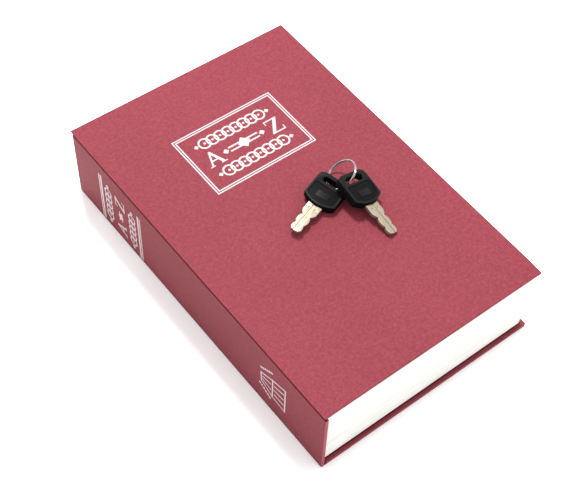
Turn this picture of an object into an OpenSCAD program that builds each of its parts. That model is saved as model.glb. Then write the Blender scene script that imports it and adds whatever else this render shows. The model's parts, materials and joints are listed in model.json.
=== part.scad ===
// A dictionary-shaped book safe: a cloth-covered hardback case, a moulded block that looks like
// page edges, a sheet-steel cash tray with a hinged lid and a wafer cam lock, and two keys on a ring.
// The book lies on its back cover. X runs from the spine to the fore-edge, +Y towards the head,
// +Z up, and the origin is the middle of the footprint. Millimetres.

/* [Book] */
// Spine to fore-edge, over the boards
book_w = 155; // [150:1:165]
// Tail to head, over the boards
book_l = 240; // [230:1:250]
// Back cover to front cover
book_h = 55; // [53:1:60]

/* [Case] */
// Thickness of the covering cloth
cloth_t = 0.35; // [0.25:0.05:0.4]
// Thickness of the back cover's grey board
board_t = 2.2; // [2:0.1:2.4]
// Thickness of the front cover's grey board
front_board_t = 1.2; // [1:0.1:1.6]
// Thickness of the pasted-down endpapers
paper_t = 0.2; // [0.15:0.05:0.25]
// How far the covers stand proud of the page block at head and tail
square_w = 2.6; // [2:0.1:3.2]
// How far the front cover stands proud of the spine's face
joint_step = 0.9; // [0.7:0.1:1.1]
// Width of the cloth turned in over each board
turn_in = 14; // [10:1:18]

/* [Safe] */
// Gauge of the steel sheet
sheet_t = 1; // [0.8:0.1:1.1]
// Depth of the lid's skirt below its top sheet
skirt_h = 6.5; // [5:0.5:7]
// Length of the hinge barrel
hinge_l = 100; // [80:5:140]
// Radius of the hinge pin
pin_r = 1.25; // [1.1:0.05:1.3]

/* [Lock] */
// Distance of the lock's axis from the book's middle, towards the fore-edge
lock_x = 34; // [31:0.5:35]
// Radius of the threaded lock barrel
barrel_r = 9; // [8.8:0.1:9.4]
// Radius of the turning plug
plug_r = 6.3; // [6.2:0.05:6.35]
// Length of the cam from the lock's axis
cam_l = 24; // [22:0.5:25]

/* [Keys] */
// Width of the plastic grip
grip_w = 20.4; // [19:0.2:21]
// Length of the plastic grip
grip_l = 22.2; // [21:0.2:23]
// Thickness of the plastic grip
grip_t = 5.2; // [4.6:0.1:5.2]
// Length of blade that shows
blade_l = 21.8; // [21.6:0.1:22.4]
// Thickness of the blade
blade_t = 2; // [1.8:0.1:2.1]
// Centreline radius of the key ring
ring_r = 9.9; // [9.9:0.05:10]

/* [Hidden] */
$fn = 48;
eps = 0.01;
fit = 0.05;                            // radial running clearance of pins and plugs

half_w = book_w / 2;
half_l = book_l / 2;

// front cover, from the top down
cover_top = book_h;
cover_under = cover_top - 2 * cloth_t - front_board_t;
cover_face = cover_under - paper_t;
board_inset = 3;                       // endpaper edge to board edge

// back cover and spine
back_top = 2 * cloth_t + board_t;
block_z0 = back_top + paper_t;
spine_x = -half_w + joint_step;
spine_board_t = 1.6;
spine_in = spine_x + 2 * cloth_t + spine_board_t;
spine_top = cover_under - 2.6;
joint_gap = 0.9;                       // slit between the spine board and the back board
back_x0 = spine_in + joint_gap;

// page block
block_x0 = spine_in + 0.1;
block_x1 = half_w - 3;
block_y = half_l - square_w;
block_top = cover_face - 0.4;
block_wall = 2.2;
well_wall = 1.8;
well_x0 = -65.8;
well_x1 = 63.3;
well_y = 104.3;
rail_h = 3;
rail_w = 18;

// cash tray and lid
tray_x0 = -57.5;
tray_x1 = 61;
tray_y = 102;
tray_z0 = block_z0 + rail_h;
tray_top = 45.8;
corner_r = 3;
lid_z = 47;
lid_x0 = -62.2;
skirt_gap = 0.5;
lid_x1 = tray_x1 + skirt_gap + sheet_t;
lid_y = tray_y + skirt_gap + sheet_t;
skirt_x0 = tray_x0 + 0.5;

// lid hinge
leaf_t = 1;
knuckle_r = pin_r + fit + leaf_t;
hinge_x = tray_x0 - knuckle_r - 0.3;
hinge_z = 44.4;
knuckles = 5;
knuckle_gap = 0.4;
knuckle_l = hinge_l / knuckles;
rivet_r = 1.5;
rivet_head_r = 2.8;
rivet_head_h = 1.2;
leaf_rivets = [-40, 0, 40];
lid_rivet_y = [-20, 20];
lid_rivet_x = -47.5;
tray_rivet_z = 35;
tray_rivet_y = [-40, 0, 40];
screw_spots = [for (x = [-51, 55], y = [-96, 96]) [x, y]];
screw_r = 1.4;

// lock
lid_top = lid_z + sheet_t;
bezel_r = 11;
bezel_h = 2;
barrel_z0 = 31;
barrel_flat = 8.1;
nut_h = 3.5;
nut_af = 22;
cam_t = 1.8;
cam_hub_r = 8.5;
cam_w = 12;
shank_w = 7;
key_slot_w = 7.4;
key_slot_t = 2.3;
wafer_n = 5;
wafer_pitch = 2.4;
wafer_z0 = 36;
wafer_t = 0.9;
wafer_w = 6.9;
spring_y = 4.4;
strike_z = 31.2;
strike_t = 1.2;
strike_reach = 10;

// keys, as they lie on the cover: [x, y, z], then [yaw, pitch, roll]
key_a_at = [2.05, -10.95, 59.02];
key_a_turn = [-71.2, -0.2, 7.6];
key_b_at = [27.2, -29.7, 60.76];
key_b_turn = [-1.2, 11.1, 15.2];
ring_at = [26.7, -3.5, 61.94];
ring_turn = -38.8;
ring_tilt = 38.2;
ring_wire_r = 0.7;
grip_corner_r = 4;
slot_l = 12.6;
slot_w = 4.2;
slot_y = grip_l - 4.6;
tang_l = 10;

// title panel and spine ornaments
foil_t = 0.08;
title_mid = [0, 54];
title_size = [71, 47.5];

// ---------- helpers ----------

// A box between two corners.
module block(lo, hi) {
    translate(lo) cube(hi - lo);
}

// A rectangle with round corners, as one outline of squares and discs.
module round_rect(x0, x1, y0, y1, r) {
    translate([x0 + r, y0]) square([x1 - x0 - 2 * r, y1 - y0]);
    translate([x0, y0 + r]) square([x1 - x0, y1 - y0 - 2 * r]);
    for (x = [x0 + r, x1 - r], y = [y0 + r, y1 - r]) translate([x, y]) circle(r);
}

// A rectangular pipe of that wall, standing on z0.
module frame(x0, x1, y, z0, z1, wall) {
    difference() {
        block([x0, -y, z0], [x1, y, z1]);
        block([x0 + wall, -y + wall, z0 - 1], [x1 - wall, y - wall, z1 + 1]);
    }
}

// A cylinder that lies along X or Y.
module rod_x(r, x0, x1) {
    translate([x0, 0, 0]) rotate([0, 90, 0]) cylinder(r = r, h = x1 - x0);
}
module rod_y(r, y0, y1) {
    translate([0, y0, 0]) rotate([-90, 0, 0]) cylinder(r = r, h = y1 - y0);
}

// A rivet along +Z: the head stands on z = 0, the shank goes down by grip, and a small tail closes it.
module rivet(grip) {
    cylinder(r1 = rivet_head_r, r2 = rivet_head_r - 0.9, h = rivet_head_h);
    translate([0, 0, -grip - 0.8]) cylinder(r = rivet_r, h = grip + 0.8 + eps);
    translate([0, 0, -grip - 0.8]) cylinder(r = rivet_r + 0.7, h = 0.8);
}

// ---------- case ----------

module front_board() {
    color([0.62, 0.58, 0.52])
        block([-half_w + cloth_t, -half_l + cloth_t, cover_under + cloth_t],
              [half_w - cloth_t, half_l - cloth_t, cover_top - cloth_t]);
}

module front_cloth() {
    color([0.62, 0.14, 0.19]) difference() {
        block([-half_w, -half_l, cover_under], [half_w, half_l, cover_top]);
        front_board();
        block([-half_w + turn_in, -half_l + turn_in, cover_under - 1],
              [half_w - turn_in, half_l - turn_in, cover_under + cloth_t + eps]);
    }
}

module front_endpaper() {
    color([0.93, 0.91, 0.86]) {
        block([-half_w + board_inset, -half_l + board_inset, cover_face],
              [half_w - board_inset, half_l - board_inset, cover_under]);
        block([-half_w + turn_in, -half_l + turn_in, cover_under - eps],
              [half_w - turn_in, half_l - turn_in, cover_under + cloth_t]);
    }
}

// The cloth hinge: a strip that dips from the cover's lower edge into the spine's top edge.
module joint_strip() {
    color([0.5, 0.1, 0.15]) translate([0, half_l - 1, 0]) rotate([90, 0, 0])
        linear_extrude(book_l - 2) polygon([
            [-half_w + 0.5, cover_under - 0.02], [-half_w + 1, cover_under - 0.02],
            [spine_x + 1.35, spine_top + 1.3], [spine_x + 0.75, spine_top + 0.02],
            [spine_x + 0.25, spine_top + 0.02], [spine_x + 0.95, spine_top + 1.3]
        ]);
}

module spine_board() {
    color([0.62, 0.58, 0.52])
        block([spine_x + cloth_t, -half_l + cloth_t, cloth_t],
              [spine_in - cloth_t, half_l - cloth_t, spine_top - cloth_t]);
}

module back_board() {
    color([0.62, 0.58, 0.52])
        block([back_x0, -half_l + cloth_t, cloth_t],
              [half_w - cloth_t, half_l - cloth_t, back_top - cloth_t]);
}

// One sheet of cloth over the spine and the back cover, turned in round every edge.
module rear_cloth() {
    color([0.62, 0.14, 0.19]) difference() {
        union() {
            block([spine_x, -half_l, 0], [half_w, half_l, back_top]);
            block([spine_x, -half_l, 0], [spine_in, half_l, spine_top]);
        }
        spine_board();
        back_board();
        // inside the turn-ins of the back cover and of the spine
        block([back_x0 + turn_in, -half_l + turn_in, back_top - cloth_t - eps],
              [half_w - turn_in, half_l - turn_in, back_top + 1]);
        block([spine_in - cloth_t - eps, -half_l + turn_in, back_top + 1],
              [spine_in + 1, half_l - turn_in, spine_top - cloth_t]);
        // the slit between spine and back board, open at head and tail
        for (end = [-1, 1])
            block([spine_in, end * half_l - 1.5, cloth_t],
                  [back_x0 - 0.05, end * half_l + 1.5, back_top + 1]);
    }
}

module back_endpaper() {
    color([0.93, 0.91, 0.86]) {
        block([back_x0, -half_l + board_inset, back_top],
              [half_w - board_inset, half_l - board_inset, block_z0]);
        block([back_x0 + turn_in, -half_l + turn_in, back_top - cloth_t],
              [half_w - turn_in, half_l - turn_in, back_top + eps]);
    }
}

// ---------- foil stamping ----------

// A flat letter A, 1 high, with serifs.
module letter_a() {
    difference() {
        polygon([[0.05, 0], [0.42, 1], [0.52, 1], [0.92, 0], [0.74, 0], [0.62, 0.32],
                 [0.28, 0.32], [0.15, 0]]);
        polygon([[0.31, 0.4], [0.59, 0.4], [0.45, 0.78]]);
    }
    translate([-0.04, 0]) square([0.3, 0.06]);
    translate([0.65, 0]) square([0.36, 0.06]);
}

// A flat letter Z, 1 high, with serifs.
module letter_z() {
    polygon([[0.06, 1], [0.82, 1], [0.82, 0.93], [0.26, 0.08], [0.84, 0.08], [0.84, 0],
             [0.02, 0], [0.02, 0.06], [0.6, 0.92], [0.06, 0.92]]);
    translate([0.02, 0.74]) square([0.06, 0.26]);
    translate([0.8, 0]) square([0.06, 0.28]);
}

// A chain of interlaced rings with a dot in each, and a lozenge at each end.
module ring_chain(n, pitch, r, w) {
    for (k = [0:n - 1]) translate([(k - (n - 1) / 2) * pitch, 0]) {
        difference() {
            circle(r + w / 2);
            circle(r - w / 2);
        }
        circle(w * 0.7);
    }
    for (side = [-1, 1]) translate([side * ((n - 1) / 2 * pitch + r + 2.2), 0])
        rotate(45) square(2.2, center = true);
}

// The title panel: two thin rules round a generic A to Z between two chains of rings.
module title_art() {
    for (inset = [0, 1.5]) difference() {
        square(title_size - 2 * [inset, inset], center = true);
        square(title_size - 2 * [inset + 0.8, inset + 0.8], center = true);
    }
    for (side = [-1, 1]) translate([0, side * 12.4]) ring_chain(8, 5.6, 3.6, 1.1);
    translate([-27, -5.6]) scale(11.2) letter_a();
    translate([17.4, -5.6]) scale(11.2) letter_z();
    for (side = [-1, 1]) translate([0, side * 1.5]) square([21, 1.1], center = true);
    for (k = [-1, 0, 1]) translate([k * 13, 0]) rotate(45) square(k == 0 ? 6 : 2.8, center = true);
}

module title_foil() {
    color([0.93, 0.88, 0.86])
        translate([title_mid[0], title_mid[1], cover_top]) linear_extrude(foil_t) title_art();
}

// The spine's band of the same ornaments, and an open book near the tail. Drawn upright,
// with the spine's thickness across.
module spine_art() {
    for (side = [-1, 1]) {
        translate([0, side * 19.2]) square([40, 1.5], center = true);
        translate([0, side * 21.2]) square([40, 0.9], center = true);
        translate([0, side * 12.4]) ring_chain(5, 5.2, 3.2, 1.1);
    }
    translate([-15.5, -4.8]) scale(9.6) letter_a();
    translate([7.4, -4.8]) scale(9.6) letter_z();
    for (side = [-1, 1]) translate([0, side * 1.2]) square([8, 0.9], center = true);
    rotate(45) square(4, center = true);
    translate([2.2, -147.9]) open_book();
}

// A straight stroke between two points, run on past both by its half-width.
module stroke(a, b, w) {
    run = norm(b - a);
    translate(a) rotate(atan2(b[1] - a[1], b[0] - a[0]))
        translate([-w / 2, -w / 2]) square([run + w, w]);
}

// An open book seen at a slant: two ruled leaves from the gutter, and a row of dots beside each
// end of the smaller leaf.
module open_book() {
    near = [[-8.5, 0], [8.5, 0], [12, -11], [-9.7, -11]];
    far = [[-8.5, 0], [8.5, 0], [3.9, 10.4], [-3.8, 9.8]];
    for (leaf = [near, far], k = [0:3]) stroke(leaf[k], leaf[(k + 1) % 4], 1);
    for (k = [1:3]) stroke(near[0] + (near[1] - near[0]) * k / 4 - [0, 1.6],
                           near[3] + (near[2] - near[3]) * k / 4 + [0, 1.5], 0.9);
    for (k = [1:2]) stroke(far[0] + (far[1] - far[0]) * k / 3 + [0, 1.5],
                           far[3] + (far[2] - far[3]) * k / 3 - [0, 1.5], 0.8);
    for (row = [[[9.1, 10.3], [14.8, 1]], [[-7.5, 11], [-12.2, 2]]], k = [0:5])
        translate(row[0] + (row[1] - row[0]) * k / 5) circle(0.9);
}

module spine_foil() {
    color([0.9, 0.82, 0.8])
        translate([spine_x, 72, 22.2]) rotate([90, 0, -90]) rotate(90)
            linear_extrude(foil_t) spine_art();
}

// ---------- page block ----------

module page_block() {
    rib_t = 1.6;
    color([0.96, 0.95, 0.93]) difference() {
        union() {
            difference() {
                block([block_x0, -block_y, block_z0], [block_x1, block_y, block_top]);
                block([block_x0 + block_wall, -block_y + block_wall, block_z0 - 1],
                      [block_x1 - block_wall, block_y - block_wall, block_top - block_wall]);
            }
            frame(well_x0 - well_wall, well_x1 + well_wall, well_y + well_wall,
                  block_z0, block_top - block_wall + eps, well_wall);
            // ribs between the outer wall and the well
            for (y = [-78, -26, 26, 78]) {
                block([block_x0 + 1, y - rib_t / 2, block_z0],
                      [well_x0 - 1, y + rib_t / 2, block_top - 1]);
                block([well_x1 + 1, y - rib_t / 2, block_z0],
                      [block_x1 - 1, y + rib_t / 2, block_top - 1]);
            }
            for (x = [-40, 0, 40], side = [-1, 1])
                block([x - rib_t / 2, side > 0 ? well_y + 1 : -block_y + 1, block_z0],
                      [x + rib_t / 2, side > 0 ? block_y - 1 : -well_y - 1, block_top - 1]);
        }
        block([well_x0, -well_y, block_z0 - 1], [well_x1, well_y, block_top + 1]);
    }
}

// Two bars glued across the back cover, head and tail: the tray is screwed down to them.
module tray_rails() {
    color([0.96, 0.95, 0.93]) difference() {
        for (side = [-1, 1])
            block([well_x0 + 0.2, side > 0 ? well_y - rail_w : -well_y + 0.2, block_z0],
                  [well_x1 - 0.2, side > 0 ? well_y - 0.2 : -well_y + rail_w, tray_z0]);
        for (p = screw_spots)
            translate([p[0], p[1], block_z0 + 0.2]) cylinder(r = screw_r + fit, h = rail_h + 1);
    }
}

// ---------- steel tray ----------

module cash_tray() {
    color([0.13, 0.13, 0.14]) difference() {
        translate([0, 0, tray_z0]) linear_extrude(tray_top - tray_z0)
            round_rect(tray_x0, tray_x1, -tray_y, tray_y, corner_r);
        translate([0, 0, tray_z0 + sheet_t]) linear_extrude(tray_top)
            round_rect(tray_x0 + sheet_t, tray_x1 - sheet_t, -tray_y + sheet_t, tray_y - sheet_t,
                       corner_r - sheet_t);
        for (p = screw_spots)
            translate([p[0], p[1], tray_z0 - 1]) cylinder(r = screw_r + 0.15, h = 3);
        for (y = tray_rivet_y) translate([0, y, tray_rivet_z])
            rod_x(rivet_r + fit, tray_x0 - 1, tray_x0 + 3);
        for (y = [-6, 6]) translate([0, y, strike_z + 5])
            rod_x(rivet_r + fit, tray_x1 - 3, tray_x1 + 1);
    }
}

module tray_screws() {
    color([0.75, 0.75, 0.74]) for (p = screw_spots)
        translate([p[0], p[1], tray_z0 + sheet_t]) difference() {
            union() {
                cylinder(r1 = 2.8, r2 = 2.1, h = 1.6);
                translate([0, 0, -3.2]) cylinder(r = screw_r, h = 3.2 + eps);
            }
            for (a = [0, 90]) rotate(a) translate([-1.5, -0.3, 0.8]) cube([3, 0.6, 1]);
        }
}

// The bent plate on the tray's fore-edge wall that the cam turns under.
module strike_bracket() {
    face = tray_x1 - sheet_t;
    color([0.7, 0.7, 0.7]) difference() {
        union() {
            block([face - strike_t, -11, strike_z], [face, 11, strike_z + 10]);
            block([face - strike_reach, -11, strike_z], [face, 11, strike_z + strike_t]);
        }
        for (y = [-6, 6]) translate([0, y, strike_z + 5]) rod_x(rivet_r + fit, face - 3, face + 1);
    }
}

module strike_rivets() {
    face = tray_x1 - sheet_t;
    color([0.75, 0.75, 0.74]) for (y = [-6, 6])
        translate([face - strike_t, y, strike_z + 5]) rotate([0, -90, 0])
            rivet(strike_t + sheet_t);
}

// ---------- lid hinge ----------

// Barrel pieces of one leaf; which = 0 takes the even knuckles, 1 the odd ones.
module knuckle_set(r, which, gap) {
    for (k = [which:2:knuckles - 1])
        rod_y(r, -hinge_l / 2 + k * knuckle_l + gap / 2, -hinge_l / 2 + (k + 1) * knuckle_l - gap / 2);
}

// Boxes that clear the other leaf's knuckles; which as in knuckle_set.
module knuckle_clear(which) {
    r = knuckle_r + 0.3;
    for (k = [which:2:knuckles - 1])
        block([-r, -hinge_l / 2 + k * knuckle_l - knuckle_gap / 2, -r],
              [r, -hinge_l / 2 + (k + 1) * knuckle_l + knuckle_gap / 2, r]);
}

module hinge_leaf_tray() {
    color([0.7, 0.7, 0.7]) translate([hinge_x, 0, hinge_z]) difference() {
        union() {
            knuckle_set(knuckle_r, 0, knuckle_gap);
            difference() {
                block([tray_x0 - leaf_t - hinge_x, -hinge_l / 2, 30 - hinge_z],
                      [tray_x0 - hinge_x, hinge_l / 2, 0]);
                knuckle_clear(1);
            }
        }
        rod_y(pin_r + fit, -hinge_l, hinge_l);
        for (y = tray_rivet_y) translate([0, y, tray_rivet_z - hinge_z]) rod_x(rivet_r + fit, 0, 5);
    }
}

module hinge_leaf_lid() {
    leaf_end = -43;
    color([0.7, 0.7, 0.7]) translate([hinge_x, 0, hinge_z]) difference() {
        union() {
            knuckle_set(knuckle_r, 1, knuckle_gap);
            difference() {
                block([0, -hinge_l / 2, lid_z - leaf_t - hinge_z],
                      [leaf_end - hinge_x, hinge_l / 2, lid_z - hinge_z]);
                knuckle_clear(0);
            }
        }
        rod_y(pin_r + fit, -hinge_l, hinge_l);
        for (y = lid_rivet_y) translate([lid_rivet_x - hinge_x, y, 0])
            cylinder(r = rivet_r + fit, h = 5);
    }
}

module hinge_pin() {
    color([0.8, 0.8, 0.8]) translate([hinge_x, 0, hinge_z])
        rod_y(pin_r, -hinge_l / 2 - 0.6, hinge_l / 2 + 0.6);
}

module tray_rivets() {
    color([0.75, 0.75, 0.74]) for (y = tray_rivet_y)
        translate([tray_x0 + sheet_t, y, tray_rivet_z]) rotate([0, 90, 0]) rivet(sheet_t + leaf_t);
}

// ---------- lid ----------

// The lock hole's outline: a disc with two flats.
module double_d(r, flat) {
    intersection() {
        circle(r);
        square([3 * r, 2 * flat], center = true);
    }
}

module lid() {
    color([0.13, 0.13, 0.14]) difference() {
        union() {
            translate([0, 0, lid_z]) linear_extrude(sheet_t)
                round_rect(lid_x0, lid_x1, -lid_y, lid_y, corner_r);
            difference() {
                translate([0, 0, lid_z - skirt_h]) linear_extrude(skirt_h + eps)
                    round_rect(lid_x0, lid_x1, -lid_y, lid_y, corner_r);
                translate([0, 0, lid_z - skirt_h - 1]) linear_extrude(skirt_h + 1)
                    round_rect(lid_x0 + sheet_t, lid_x1 - sheet_t, -lid_y + sheet_t,
                               lid_y - sheet_t, corner_r - sheet_t);
                // the hinge side has no skirt
                block([lid_x0 - 1, -lid_y - 1, lid_z - skirt_h - 1], [skirt_x0, lid_y + 1, lid_z]);
            }
        }
        translate([lock_x, 0, lid_z - 1]) linear_extrude(3)
            double_d(barrel_r + fit, barrel_flat + fit);
        for (y = lid_rivet_y) translate([lid_rivet_x, y, lid_z - 1])
            cylinder(r = rivet_r + fit, h = 3);
    }
}

module lid_rivets() {
    color([0.75, 0.75, 0.74]) for (y = lid_rivet_y)
        translate([lid_rivet_x, y, lid_top]) rivet(sheet_t + leaf_t);
}

// ---------- cam lock ----------

module lock_housing() {
    color([0.78, 0.78, 0.78]) translate([lock_x, 0, 0]) difference() {
        union() {
            translate([0, 0, lid_top]) cylinder(r = bezel_r, h = bezel_h - 0.8);
            translate([0, 0, lid_top + bezel_h - 0.8])
                cylinder(r1 = bezel_r, r2 = bezel_r - 0.8, h = 0.8);
            translate([0, 0, barrel_z0]) linear_extrude(lid_top - barrel_z0 + eps)
                double_d(barrel_r, barrel_flat);
        }
        translate([0, 0, barrel_z0 - 1]) cylinder(r = plug_r + fit, h = 30);
        translate([0, 0, lid_top + 0.6 - fit]) cylinder(r = plug_r + 1.1 + fit, h = 5);
        // slots that the wafers spring out into, at the two turned positions of the plug
        for (a = [0, 90]) rotate(a)
            block([-7.2, -wafer_w / 2 - 0.4, wafer_z0 - 1.2],
                  [7.2, wafer_w / 2 + 0.4, wafer_z0 + wafer_n * wafer_pitch - 1.2]);
    }
}

module lock_nut() {
    color([0.7, 0.7, 0.68]) translate([lock_x, 0, lid_z - 0.1 - nut_h]) difference() {
        cylinder(r = nut_af / 2 / cos(30), h = nut_h, $fn = 6);
        translate([0, 0, -1]) cylinder(r = barrel_r + fit, h = nut_h + 2);
    }
}

module lock_plug() {
    face = lid_top + bezel_h - 0.2;
    color([0.72, 0.66, 0.5]) translate([lock_x, 0, 0]) difference() {
        union() {
            translate([0, 0, barrel_z0]) cylinder(r = plug_r, h = lid_top + 0.6 - barrel_z0 + eps);
            translate([0, 0, lid_top + 0.6]) cylinder(r = plug_r + 1.1, h = face - lid_top - 0.6);
            block([-shank_w / 2, -shank_w / 2, barrel_z0 - cam_t - 0.2],
                  [shank_w / 2, shank_w / 2, barrel_z0 + eps]);
        }
        block([-key_slot_w / 2, -key_slot_t / 2, barrel_z0 + 2.5],
              [key_slot_w / 2, key_slot_t / 2, face + 1]);
        translate([0, 0, barrel_z0 - 5]) cylinder(r = 1.95, h = 6.2);
        for (k = [0:wafer_n - 1]) translate([0, 0, wafer_z0 + k * wafer_pitch]) {
            block([-8, -wafer_w / 2 - 0.05, -0.5], [8, wafer_w / 2 + 0.05, 0.5]);
            block([-3, wafer_w / 2 - 0.1, -0.8], [3.6, 5.4, 0.8]);
        }
    }
}

// The wafers sit at the shear line, as they do with the key in.
module lock_wafers() {
    color([0.8, 0.7, 0.4]) for (k = [0:wafer_n - 1])
        translate([lock_x, 0, wafer_z0 + k * wafer_pitch - wafer_t / 2])
            linear_extrude(wafer_t) {
                difference() {
                    intersection() {
                        circle(plug_r - 0.1);
                        square([20, wafer_w], center = true);
                    }
                    square([key_slot_w - 0.7, key_slot_t + 0.4], center = true);
                }
                translate([1.85, wafer_w / 2 - 0.2]) square([0.9, 1.9]);
            }
}

// A coil spring along +X of that length, swept round a helix with four flats.
module coil_spring(len, r, wire, turns) {
    steps = turns * 8;
    pts = [for (i = [0:steps], j = [0:3])
        let (a = 360 * turns * i / steps, b = 90 * j, q = r + wire * cos(b))
        [len * i / steps + wire * sin(b), q * cos(a), q * sin(a)]];
    sides = [for (i = [0:steps - 1], j = [0:3])
        [4 * i + j, 4 * i + (j + 1) % 4, 4 * (i + 1) + (j + 1) % 4, 4 * (i + 1) + j]];
    polyhedron(pts, concat([[3, 2, 1, 0]], sides, [[for (j = [0:3]) 4 * steps + j]]), convexity = 6);
}

module wafer_springs() {
    color([0.75, 0.75, 0.75]) for (k = [0:wafer_n - 1])
        translate([lock_x - 2.8, spring_y, wafer_z0 + k * wafer_pitch])
            coil_spring(4.4, 0.5, 0.12, 5);
}

// The cam points to the head: unlocked. Turned -90 degrees it lies under the strike.
module lock_cam() {
    color([0.7, 0.7, 0.7]) translate([lock_x, 0, barrel_z0 - cam_t - 0.1]) difference() {
        linear_extrude(cam_t) {
            circle(cam_hub_r);
            translate([-cam_w / 2, 0]) square([cam_w, cam_l - cam_w / 2]);
            translate([0, cam_l - cam_w / 2]) circle(cam_w / 2);
        }
        block([-shank_w / 2 - fit, -shank_w / 2 - fit, -1], [shank_w / 2 + fit, shank_w / 2 + fit, 5]);
    }
}

module cam_washer() {
    color([0.75, 0.75, 0.74]) translate([lock_x, 0, barrel_z0 - cam_t - 1]) difference() {
        cylinder(r = 5.5, h = 0.8);
        translate([0, 0, -1]) cylinder(r = 2.1, h = 3);
    }
}

module cam_screw() {
    z = barrel_z0 - cam_t - 1;
    color([0.75, 0.75, 0.74]) translate([lock_x, 0, z]) difference() {
        union() {
            translate([0, 0, -2.2]) cylinder(r1 = 2.8, r2 = 3.8, h = 2.2);
            translate([0, 0, -eps]) cylinder(r = 1.9, h = 3.8);
        }
        for (a = [0, 90]) rotate(a) translate([-2, -0.4, -3]) cube([4, 0.8, 2]);
    }
}

// ---------- keys ----------

// Half-width of the blade at a distance s from the grip: a shoulder, a hump and a blunt lobed tip.
function hump(t) = pow(max(0, 1 - pow(2 * t - 1, 2)), 0.55);
function blade_half(s) =
    s < 6 ? 4.5 :
    s < 9.6 ? 4.5 - 2.1 * pow((s - 6) / 3.6, 1.6) :
    s < 16.4 ? 2.35 + 1.35 * hump((s - 9.6) / 6.8) :
    s < 19.4 ? 2.35 + 1.05 * hump((s - 16.4) / 6) :
    3.4 - 1.5 * pow((s - 19.4) / 2.4, 2.2);

module blade_outline() {
    steps = 72;
    s = [for (k = [0:steps]) blade_l * k / steps];
    polygon(concat([[-4.5, tang_l]], [for (v = s) [-blade_half(v), -v]],
                   [for (k = [steps:-1:0]) [blade_half(s[k]), -s[k]]], [[4.5, tang_l]]));
}

module key_blade() {
    difference() {
        translate([0, 0, -blade_t / 2]) linear_extrude(blade_t) blade_outline();
        // the warding groove down each face
        for (side = [-1, 1]) block([-1, -blade_l - 1, side > 0 ? blade_t / 2 - 0.35 : -blade_t],
                                   [1, -1.5, side > 0 ? blade_t : -blade_t / 2 + 0.35]);
    }
}

module grip_outline() {
    arc_r = 15.4;                      // the convex foot that the blade leaves
    intersection() {
        round_rect(-grip_w / 2, grip_w / 2, 0, grip_l + 0, grip_corner_r);
        union() {
            translate([0, arc_r]) circle(arc_r, $fn = 96);
            translate([-grip_w / 2, 3.4]) square([grip_w, grip_l]);
        }
    }
}

module key_grip() {
    difference() {
        translate([0, 0, -grip_t / 2]) linear_extrude(grip_t) difference() {
            grip_outline();
            translate([-(slot_l - slot_w) / 2, slot_y - slot_w / 2])
                square([slot_l - slot_w, slot_w]);
            for (side = [-1, 1]) translate([side * (slot_l - slot_w) / 2, slot_y])
                circle(slot_w / 2);
        }
        block([-4.5, -1, -blade_t / 2], [4.5, tang_l, blade_t / 2]);
        // the sunk panel on each face, with a raised label left in it
        for (side = [-1, 1]) scale([1, 1, side]) difference() {
            block([-grip_w / 2 + 1.6, 4, grip_t / 2 - 0.4], [grip_w / 2 - 1.6, slot_y - 4.4, grip_t]);
            block([-4, 5.2, 0], [4, 9.6, grip_t / 2]);
        }
    }
}

module place_key(at, turn) {
    translate(at) rotate([0, 0, turn[0]]) rotate([turn[1], 0, 0]) rotate([0, turn[2], 0])
        children();
}

module key_a_grip() {
    color([0.06, 0.06, 0.06]) place_key(key_a_at, key_a_turn) key_grip();
}
module key_a_blade() {
    color([0.8, 0.78, 0.7]) place_key(key_a_at, key_a_turn) key_blade();
}
module key_b_grip() {
    color([0.06, 0.06, 0.06]) place_key(key_b_at, key_b_turn) key_grip();
}
module key_b_blade() {
    color([0.8, 0.78, 0.7]) place_key(key_b_at, key_b_turn) key_blade();
}

module key_ring() {
    color([0.85, 0.85, 0.85]) translate(ring_at) rotate([0, 0, ring_turn]) rotate([0, -ring_tilt, 0])
        rotate_extrude() translate([ring_r, 0]) circle(ring_wire_r);
}

// ---------- nodes ----------

front_board();
front_cloth();
front_endpaper();
title_foil();
joint_strip();
spine_board();
back_board();
rear_cloth();
back_endpaper();
spine_foil();
page_block();
tray_rails();
cash_tray();
tray_screws();
strike_bracket();
strike_rivets();
hinge_leaf_tray();
hinge_pin();
tray_rivets();
lid();
hinge_leaf_lid();
lid_rivets();
lock_housing();
lock_nut();
lock_plug();
lock_cam();
cam_washer();
cam_screw();
wafer_springs();
lock_wafers();
key_ring();
key_a_grip();
key_a_blade();
key_b_grip();
key_b_blade();
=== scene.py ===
"""A dictionary-shaped book safe with its two keys lying on the front cover.

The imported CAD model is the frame. Coverings, page edges, keys and ring are rebuilt here with soft
edges; boards, foil, steel and lock parts keep their CAD shapes and get procedural materials.
"""

import json
import math
import random

import bmesh
import bpy
from mathutils import Euler, Matrix, Vector


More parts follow.
